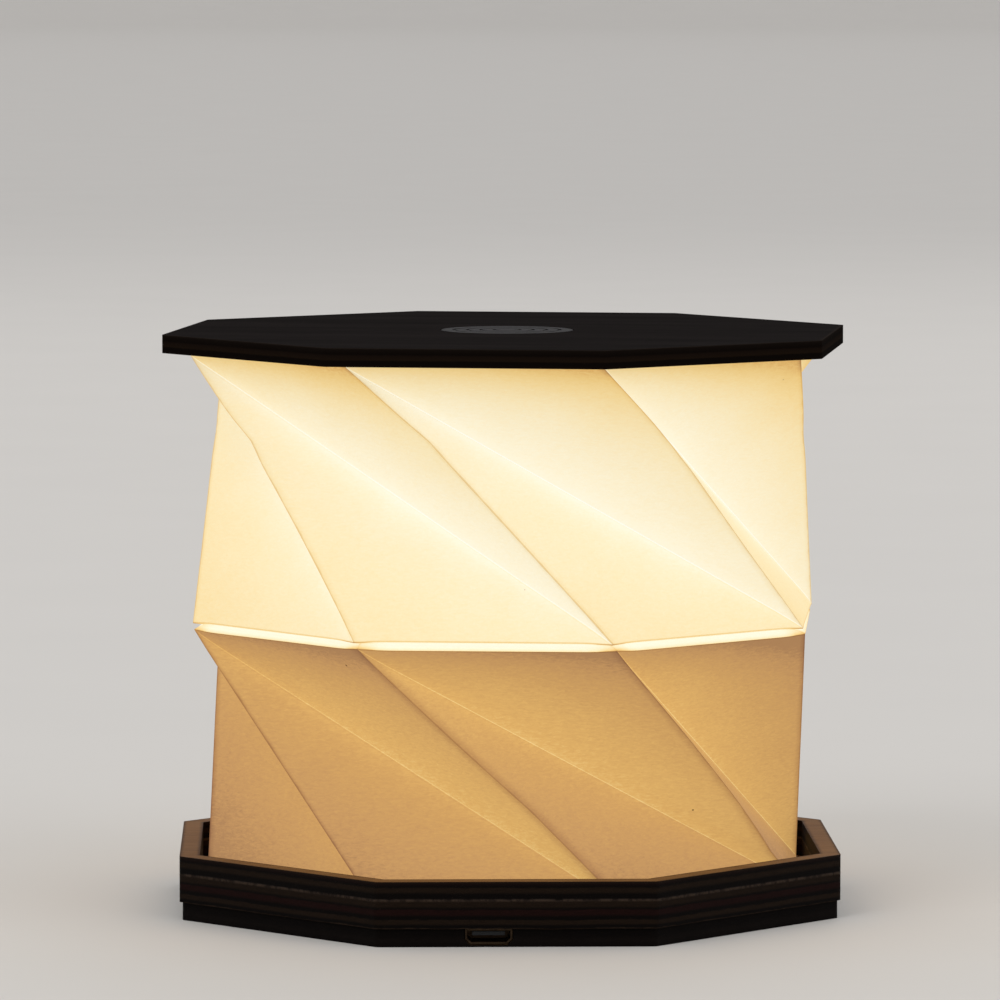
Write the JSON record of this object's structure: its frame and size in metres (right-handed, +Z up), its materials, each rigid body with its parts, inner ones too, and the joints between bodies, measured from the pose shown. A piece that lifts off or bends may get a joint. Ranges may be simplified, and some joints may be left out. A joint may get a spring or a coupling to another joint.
{
  "type": "folding paper table lamp",
  "caption": "Folding paper table lantern: octagonal plywood tray with battery and light, two twist-fold paper tiers and a plywood top plate with a steel disc.",
  "frame": {"origin": "middle of the underside of the tray, bottom centre of the bounding box", "axes": "+Z up, the charging port faces -Y, +X to the right of someone who faces the port"},
  "size_m": [0.1136, 0.1136, 0.0952],
  "materials": {
    "burnt_ply": "laser-cut plywood, edges burnt dark brown",
    "pale_ply": "bare light plywood, edges burnt dark",
    "stained_ply": "near-black stained plywood, satin",
    "screw_steel": "zinc-plated steel",
    "port_steel": "drawn steel, bright",
    "port_plastic": "black moulded plastic with gilt contacts",
    "battery_foil": "aluminium pouch",
    "wire_cover": "silicone wire covering",
    "circuit_board": "green solder mask",
    "chip_plastic": "black moulded chip",
    "light_board": "white solder mask",
    "lamp_phosphor": "yellow phosphor over a white case",
    "opal_plastic": "opal polycarbonate",
    "catch_steel": "nickel-plated steel",
    "shade_paper": "translucent fibrous paper, warm white",
    "spun_steel": "turned, fine concentric marks",
    "magnet_plating": "nickel plating"
  },
  "bodies": {
    "base": {"foot_plate": "burnt_ply", "deck_plate": "burnt_ply", "spacer_ring": "burnt_ply", "rim_ring": "pale_ply", "usb_shell": "port_steel", "usb_tongue": "port_plastic", "battery_cell": "battery_foil", "battery_leads": "wire_cover", "charge_board": "circuit_board", "charge_chips": "chip_plastic", "led_leads": "wire_cover", "led_board": "light_board", "led_chips": "lamp_phosphor", "led_board_screws": "screw_steel", "lid_sensor": "chip_plastic", "light_diffuser": "opal_plastic", "catch_disc": "catch_steel", "shade_foot_hem": "shade_paper"},
    "lower_tier": {"shade_lower": "shade_paper"},
    "middle": {"mid_fold": "shade_paper"},
    "upper_tier": {"shade_upper": "shade_paper"},
    "lid": {"shade_head_hem": "shade_paper", "top_plate": "stained_ply", "spun_disc": "spun_steel", "lid_magnet": "magnet_plating"}
  },
  "joints": [
    {"name": "lower_press", "type": "slide", "parent": "base", "child": "lower_tier", "axis": [0, 0, -1], "range_m": [0, 0.03595], "deforming": ["shade_lower"]},
    {"name": "lower_twist", "type": "hinge", "parent": "lower_tier", "child": "middle", "pos_m": [0, 0, 0.04675], "axis": [0, 0, -1], "range_deg": [0, 17.21]},
    {"name": "upper_press", "type": "slide", "parent": "middle", "child": "upper_tier", "axis": [0, 0, -1], "range_m": [0, 0.0431], "deforming": ["shade_upper"]},
    {"name": "upper_twist", "type": "hinge", "parent": "upper_tier", "child": "lid", "pos_m": [0, 0, 0.0922], "axis": [0, 0, -1], "range_deg": [0, 18.92]}
  ],
  "couplings": [
    {"joint": "lower_twist", "follows": "lower_press", "rad_per_m": 8.3511},
    {"joint": "upper_twist", "follows": "upper_press", "rad_per_m": 7.6578}
  ]
}
